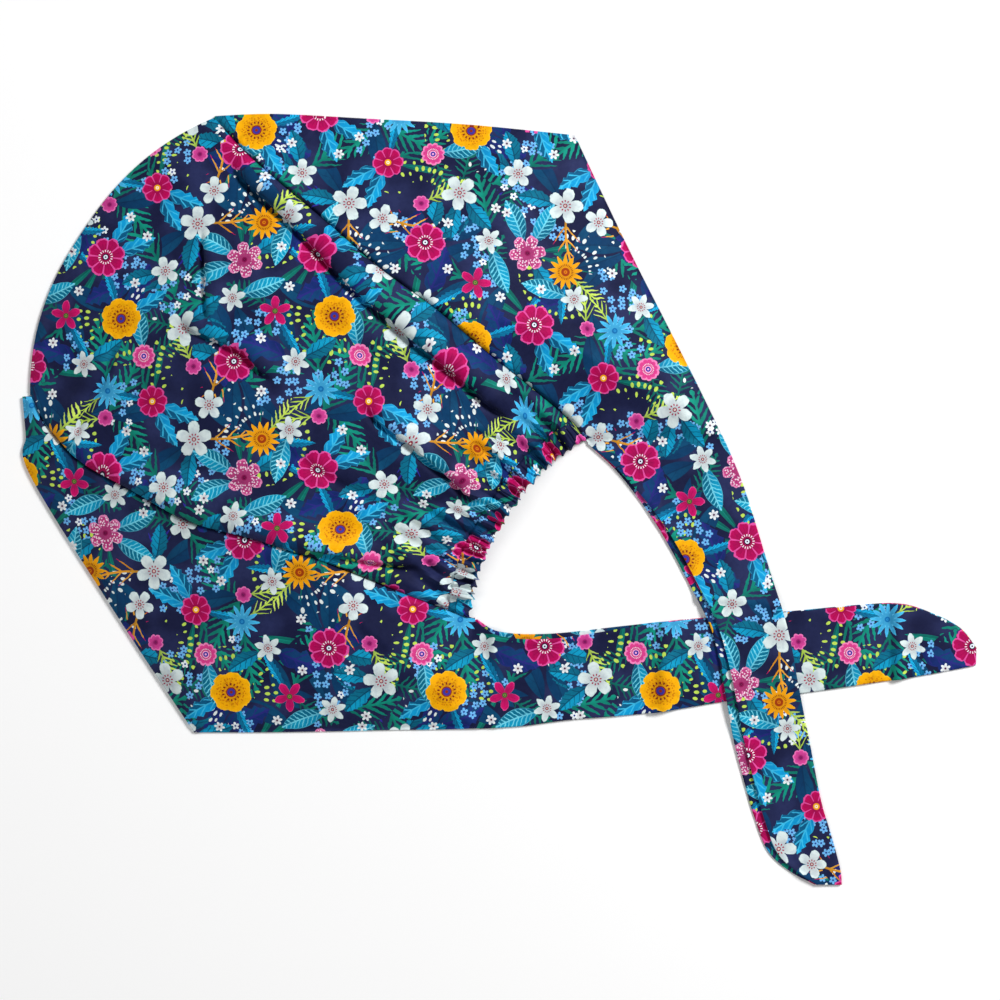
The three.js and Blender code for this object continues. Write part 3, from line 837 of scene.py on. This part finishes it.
leaves = {
    # length, width; side veins, how thick and how slanted, teeth, open between the veins; paints of
    # leaf, vein and lit side
    "kinds": {
        "ribbed": (21, 9.5, 10.0, 0.26, 0.35, 0.0, 0, "04708f 7ae0f4 0a9cc4"),
        "toothed": (17, 9.5, 6.0, 0.14, 0.5, 0.14, 0, "05708e 024562 0a9cc6"),
        "bright": (19, 9.5, 4.0, 0.22, 0.8, 0.26, 0, "045e88 40c4ee 0a9ed8"),
        "serrate": (19, 5.0, 9.0, 0.2, 0.5, 0.26, 0, "0478a4 06527a 14b0e4"),
        "deep": (25, 9.5, 3.0, 0.04, 0.6, 0.0, 0, "063c66 05345a 08486f"),
        "dusk": (23, 14, 4.0, 0.14, 0.7, 0.26, 0, "142c70 2a2880 0f4074"),
        "blade": (26, 3.4, 1.0, 0.0, 0.5, 0.0, 0, "066a60 129a86 0a7a6c"),
        "frond": (28, 17, 6.0, 0.55, 0.8, 0.0, 1, "0a806e 0a806e 0c937e"),
        "coral": (13, 9, 4.0, 0.34, 1.0, 0.0, 1, "bedf4e bedf4e d0ec66"),
        "fern": (20, 9.5, 7.5, 0.52, 0.5, 0.0, 1, "bedc4e bedc4e d2ec66"),
        "indigo": (23, 12, 5.5, 0.62, 0.85, 0.0, 1, "2c2890 2c2890 352fa4"),
        "sprig": (21, 13, 8.0, 0.5, 0.4, 0.0, 1, "0a6a60 0a6a60 0b7c6c"),
        "twig": (20, 15, 3.5, 0.2, 0.95, 0.0, 1, "e0921a e0921a f0aa38"),
    },
    # what grows from each blossom of the chart: its number, then kinds with their directions
    "upper": [
        (0, "bright", -70, "bright", -30), (1, "twig", 150, "toothed", 75, "toothed", 30),
        (2, "bright", -150, "bright", -112, "serrate", 80), (4, "twig", -85, "toothed", 170),
        (5, "twig", -10), (6, "toothed", -50, "toothed", -100), (7, "toothed", 105, "toothed", 150),
        (3, "bright", -60, "serrate", 20), (11, "ribbed", 62, "ribbed", 112, "toothed", -55),
        (13, "serrate", -135, "serrate", -95, "fern", -40), (12, "coral", 128), (16, "coral", 100),
        (17, "fern", 30), (14, "serrate", -150), (15, "ribbed", 12), (8, "ribbed", -70),
        (10, "toothed", -60), (9, "ribbed", 165),
    ],
    "lower": [
        (0, "blade", 150, "blade", 178, "blade", 206, "blade", 130),
        (1, "blade", -100, "blade", -72, "blade", -44), (2, "frond", 30, "blade", -10, "deep", 100),
        (3, "indigo", 145, "deep", 60, "dusk", -25), (4, "deep", 125, "indigo", 172), (5, "frond", -55),
        (6, "frond", 20, "sprig", 80, "indigo", -10), (7, "frond", 40, "sprig", -100),
        (8, "deep", 205, "deep", 255), (9, "deep", 50, "sprig", 110, "dusk", 200),
        (11, "blade", 10, "blade", -15), (12, "frond", 10, "frond", 215),
        (14, "sprig", 60, "frond", 160), (15, "sprig", -65), (18, "dusk", 110),
        (10, "dusk", 70, "deep", 20), (16, "deep", -80, "frond", -30), (13, "deep", 60, "deep", 20),
        (17, "dusk", -100), (8, "frond", 100), (1, "deep", 20, "deep", 180),
    ],
}


codeStep = 0.001  # a motif's number times this is its code, too small to count in its distance


# Where a point lies on the uppermost motif of a chart that covers it: x and y from the motif's
# middle, and its number. With nothing there, x is far away. A motif is round or runs to a point.
def laidOn(finish, chart, place):
    chosen = (99.0, 99.0, 0.0)
    for x, y, turn, length, width, number in chart:
        offset = finish.fromSpot(place, x, y, number * codeStep)
        if width is None:
            covers = finish.vector("LENGTH", offset, output=1) < length
        else:
            offset = finish.add("ShaderNodeVectorRotate", {"rotation_type": "Z_AXIS"},
                                {"Vector": offset, "Angle": -math.radians(turn)})
            offset = finish.vector("MULTIPLY", offset, (2 / length, 2 / width, 1.0))
            pointed = finish.vector("POWER", finish.vector("ABSOLUTE", offset), (1.0, 0.5, 1.0))
            covers = finish.vector("LENGTH", pointed, output=1) < 1.0  # x * x + abs(y) < 1
        chosen = finish.mixVector(chosen, offset, covers)
    x, y, z = finish.split(chosen)
    return x, y, z / codeStep


# Blossoms over the colour that is there so far.
def paintBlossoms(finish, place, rough, ground):
    names, kinds = list(blossoms["kinds"]), list(blossoms["kinds"].values())
    chart = [(x, y, 0, blossoms["kinds"][kind][0], None, names.index(kind) + turn)
             for x, y, kind, turn in blossoms["chart"]]
    x, y, number = laidOn(finish, chart, place)
    share = (number + 0.01) / len(kinds)
    radius, petals, cut = finish.columns(share, kinds, (0, 16), (1, 16), (2, 1))
    roundness, centre, eye = finish.columns(share, kinds, (3, 4), (4, 1), (5, 1))
    rim, ticks, stipple = finish.columns(share, kinds, (6, 1), (7, 1), (8, 2))
    lines = finish.columns(share, kinds, (9, 1))[0]
    petalPaint, rimPaint, centrePaint, eyePaint, tickPaint = finish.paints(share, kinds, 5)
    distance, turn = finish.polar(x, y)
    distance = distance / radius
    sector = (turn + finish.maths("FRACT", number + 0.0001)) * petals
    off = finish.offMiddle(sector)  # 0 in the middle of a petal
    reach = 1 - (1 - cut) * (off ** roundness) + (rough - 0.5) * 0.16
    shade = finish.between(distance, 0.05, 0.95)
    colour = finish.mix(finish.mix(rimPaint, petalPaint, 0.93), petalPaint, shade)
    dark = finish.darker(petalPaint, (0.55, 0.5, 0.55))
    colour = finish.mix(colour, dark, (1 - shade) * 0.7)
    streak = finish.offMiddle(sector * 3) < 0.26
    colour = finish.mix(colour, dark, streak * (distance < 0.72) * (distance > centre) * lines * 0.4)
    edge = ((reach - distance) < rim) | ((off > 0.85) * lines * (distance > 0.36))
    colour = finish.mix(colour, rimPaint, edge)
    speckled = stipple > 1.4
    dots = (finish.voronoi(place, 0.85) < 0.3) * (stipple > 0.6)
    dotPaint = finish.mix(finish.darker(petalPaint, (0.62, 0.4, 0.3)), (0.95, 0.75, 0.86, 1), speckled)
    zone = ((distance < 0.72) * (1 - speckled)) | (speckled * (distance > 0.38) * (distance < 0.9))
    colour = finish.mix(colour, dotPaint, dots * zone * 0.85)
    ring = (distance > (centre + 0.09)) * (distance < (centre + 0.2))
    colour = finish.mix(colour, tickPaint, ring * (finish.offMiddle(sector * 2) < 0.4) * ticks)
    for paint, edge in ((centrePaint, centre), (eyePaint, eye), (centrePaint, eye * 0.4)):
        colour = finish.mix(colour, paint, distance < edge)
    return finish.mix(ground, colour, distance < reach)


# Leaves, fronds and sprays of one layer, growing out from under the blossoms.
def paintLeaves(finish, place, rough, ground, layer):
    names, kinds = list(leaves["kinds"]), list(leaves["kinds"].values())
    chart = []
    for blossom, *grown in leaves[layer]:
        x, y, kind, _ = blossoms["chart"][blossom]
        for name, turn in zip(grown[::2], grown[1::2]):
            length, width = leaves["kinds"][name][:2]
            away = 0.6 * blossoms["kinds"][kind][0] + length / 2
            angle = math.radians(turn)
            chart.append((x + away * math.cos(angle), y + away * math.sin(angle), turn, length, width,
                          names.index(name) + 0.5))
    x, y, number = laidOn(finish, chart, place)
    share = number / len(kinds)
    veins, duty, slant = finish.columns(share, kinds, (2, 16), (3, 1), (4, 1))
    teeth, gaps = finish.columns(share, kinds, (5, 1), (6, 1))
    leafPaint, veinPaint, litPaint = finish.paints(share, kinds, 3)
    x = x + (rough - 0.5) * 0.1
    y = y + (1 - x * x) * 0.13  # a leaf bends to one side
    off = abs(y)
    ribs = finish.maths("FRACT", (x - off * slant + 2.0) * veins / 2)
    reach = (1 - x * x) * (0.86 - teeth * ribs * 1.2)
    along = off / (reach + 0.02)
    rib = abs(ribs - 0.5) * 2 < duty * (1 - gaps * along * along * 0.85)
    line = rib | (off < 0.065)
    colour = finish.mix(leafPaint, litPaint, finish.between(y, -0.15, 0.15))
    colour = finish.mix(colour, veinPaint, line * (along < 0.86) * (1 - gaps) * 0.85)
    colour = finish.mix(colour, veinPaint, (along > 0.9) * (1 - gaps) * 0.4)
    colour = finish.mix(colour, finish.darker(colour, (0.6, 0.66, 0.72)), finish.between(x, 0.3, -1.0))
    berry = rib * (along > 0.74) * (share > (len(kinds) - 1) / len(kinds))  # on the ends of the twigs
    colour = finish.mix(colour, tone("c80f5c"), berry)
    return finish.mix(ground, colour, (off < reach) * (1 - gaps * (1 - line)))


# Small blue and white flowers between the rest, in loose groups.
def paintFiller(finish, place, ground):
    cell = finish.voronoi(place, 0.23, 0.7)
    centre = finish.output(cell, "Position")
    chance, second, _ = finish.split(finish.output(cell, "Color"), "Color")
    x, y, _ = finish.split(finish.vector("SUBTRACT", place, centre))
    distance, turn = finish.polar(x, y)
    off = finish.offMiddle(turn * 5 + chance * 3)
    zone = finish.noise(centre, 0.045, 0)
    colour = finish.mix(tone("6fb8f0"), tone("eef6fa"), second > 0.86)
    colour = finish.mix(colour, tone("25408c"), distance < 0.45)
    inside = distance < (1.85 - 1.1 * off * off)
    return finish.mix(ground, colour, inside * (zone > 0.645) * (chance > 0.2))


# Seeds strewn round the poppies, lime on one side and white on the other.
def paintDrops(finish, place, ground):
    colour = ground
    for x, y, lime, white in blossoms["seeds"]:
        across, up, _ = finish.split(finish.fromSpot(place, x, y))
        reach, turn = finish.polar(across, up)
        spread = finish.add("ShaderNodeCombineXYZ", {}, {"X": turn * 34, "Y": reach * 0.21, "Z": 0.0})
        cell = finish.voronoi(spread, 1.0, 0.65)
        chance, second, _ = finish.split(finish.output(cell, "Color"), "Color")
        drop = (cell < (0.17 + 0.13 * second)) * (chance > 0.22) * (reach > 10.5)
        for sector, wide, far, paint in ((lime, 0.2, 21.0, "c0df58"), (white, 0.13, 19.5, "e6efec")):
            away = abs(finish.maths("WRAP", turn - sector, 0.5, -0.5))
            colour = finish.mix(colour, tone(paint), drop * (away < wide) * (reach < far))
    return colour


# Plain woven cotton: fine threads both ways, a little sheen.
def surface(finish, colour, place, roughness):
    threads = [finish.output(finish.add(
        "ShaderNodeTexWave", {"wave_type": "BANDS", "bands_direction": way},
        {"Vector": place, "Scale": 0.95, "Distortion": 0.4, "Detail": 0.0}), 1) for way in "XY"]
    bump = finish.add("ShaderNodeBump", {}, {"Strength": 0.35, "Distance": 0.00012,
                                             "Height": threads[0] | threads[1]})
    slub = finish.noise(place, 0.9, 1.0)
    shader = finish.add("ShaderNodeBsdfPrincipled", {}, {
        "Base Color": colour, "Roughness": roughness + (slub - 0.5) * 0.16, "Normal": bump,
        "Specular IOR Level": 0.09, "Sheen Weight": 0.015, "Sheen Roughness": 0.4,
    })
    finish.add("ShaderNodeOutputMaterial", {}, {"Surface": shader})
    return finish.material


def makePrint():
    finish = Finish("floral cotton print")
    place = finish.printPlace()
    rough = finish.noise(place, 0.55, 1.0)
    soft = finish.noise(place, 0.05, 1.0)
    ground = finish.mix(tone("161b3e"), tone("272e58"), finish.between(soft, 0.35, 0.7))
    colour = paintLeaves(finish, place, rough, ground, "lower")
    colour = paintDrops(finish, place, colour)
    colour = paintFiller(finish, place, colour)
    colour = paintLeaves(finish, place, rough, colour, "upper")
    colour = paintBlossoms(finish, place, rough, colour)
    brushed = finish.between(finish.noise(place, 0.42, 2.0), 0.4, 0.72)  # uneven paint
    colour = finish.mix(colour, finish.darker(colour, (0.7, 0.72, 0.8)), brushed * 0.5)
    return surface(finish, colour, place, 0.62)


# The cloth's wrong side, where the print shows through faintly.
def makeReverse():
    finish = Finish("cotton wrong side")
    place = finish.printPlace()
    cell = finish.add("ShaderNodeTexVoronoi", {"voronoi_dimensions": "2D", "feature": "SMOOTH_F1"},
                      {"Vector": place, "Scale": 0.085, "Smoothness": 0.25})
    faint = [(0.0, "5f6c94"), (0.3, "6d7ba4"), (0.48, "a57b9c"), (0.62, "7fa0b4"), (0.78, "c0b890"),
             (1.0, "c9d2dc")]
    ghost = finish.ramp(finish.output(cell, "Color"), [(at, tone(code)) for at, code in faint])
    base = finish.mix(tone("5a6690"), tone("75809f"), finish.noise(place, 0.12, 2.0))
    colour = finish.mix(base, ghost, finish.between(cell, 0.62, 0.3) * 0.7)
    return surface(finish, colour, place, 0.78)


printed, reverse = makePrint(), makeReverse()
print("cotton print and its wrong side are ready")


def dress(piece, node, thickness):
    for material in (printed, reverse):
        piece.data.materials.append(material)
    thicken(piece, thickness)
    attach(piece, "root")
    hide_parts(node)
    half = sum(face.area for face in piece.data.polygons) / 2
    print(piece.name, len(piece.data.polygons), "faces, half its surface", round(half, 5))
    return piece


crown = dress(makeCrown(), "crown", cap["cloth"])
band = dress(makeBand(), "front_band", cap["cloth"])
casingPiece = dress(makeCasing(), "elastic_casing", casing["cloth"])
rightTie = dress(makeTie("right_tie_cloth", ties["right"], True),
                 "tie_right", ties["thickness"])
leftTie = dress(makeTie("left_tie_cloth", ties["left"], False),
                "tie_left", ties["thickness"])

print("sheets are named")

studio = {
    "floor": {"size": 6, "colour": (0.99, 0.99, 0.99, 1)},
    "sky": 0.24,
    "key": {"place": (0.55, 1.35, 1.25), "size": 0.55, "watts": 38},
    "fill": {"place": (-0.9, -0.9, 1.6), "size": 1.4, "watts": 10},
    "camera": {"place": (-0.0002, 0.003, 0.875), "turn": 32.68, "lens": 70},
}
bpy.ops.object.select_all(action="DESELECT")
bpy.ops.mesh.primitive_plane_add(size=studio["floor"]["size"], location=(0, 0, 0))
floor = bpy.context.object
floor.name = "floor"
paper = Finish("pale floor")
paperShade = paper.add("ShaderNodeBsdfPrincipled", {}, {
    "Base Color": studio["floor"]["colour"], "Roughness": 0.9, "Specular IOR Level": 0.1})
paper.add("ShaderNodeOutputMaterial", {}, {"Surface": paperShade})
floor.data.materials.append(paper.material)

for name in ("key", "fill"):
    light = bpy.data.lights.new(name, "AREA")
    light.size = studio[name]["size"]
    light.energy = studio[name]["watts"]
    lamp = bpy.data.objects.new(name, light)
    lamp.location = studio[name]["place"]
    lamp.rotation_euler = (-Vector(studio[name]["place"])).to_track_quat("-Z", "Y").to_euler()
    bpy.context.scene.collection.objects.link(lamp)
world = bpy.data.worlds.new("studio")
world.use_nodes = True
background = world.node_tree.nodes["Background"].inputs
background["Color"].default_value = (1, 1, 1, 1)
background["Strength"].default_value = studio["sky"]
bpy.context.scene.world = world
bpy.context.scene.view_settings.view_transform = "Standard"

camera = bpy.data.cameras.new("camera")
camera.lens = studio["camera"]["lens"]
camera.sensor_width = 36
viewer = bpy.data.objects.new("camera", camera)
viewer.location = studio["camera"]["place"]
viewer.rotation_euler = (0, 0, math.radians(studio["camera"]["turn"]))
bpy.context.scene.collection.objects.link(viewer)
bpy.context.scene.camera = viewer

print("floor, lights and camera are set")
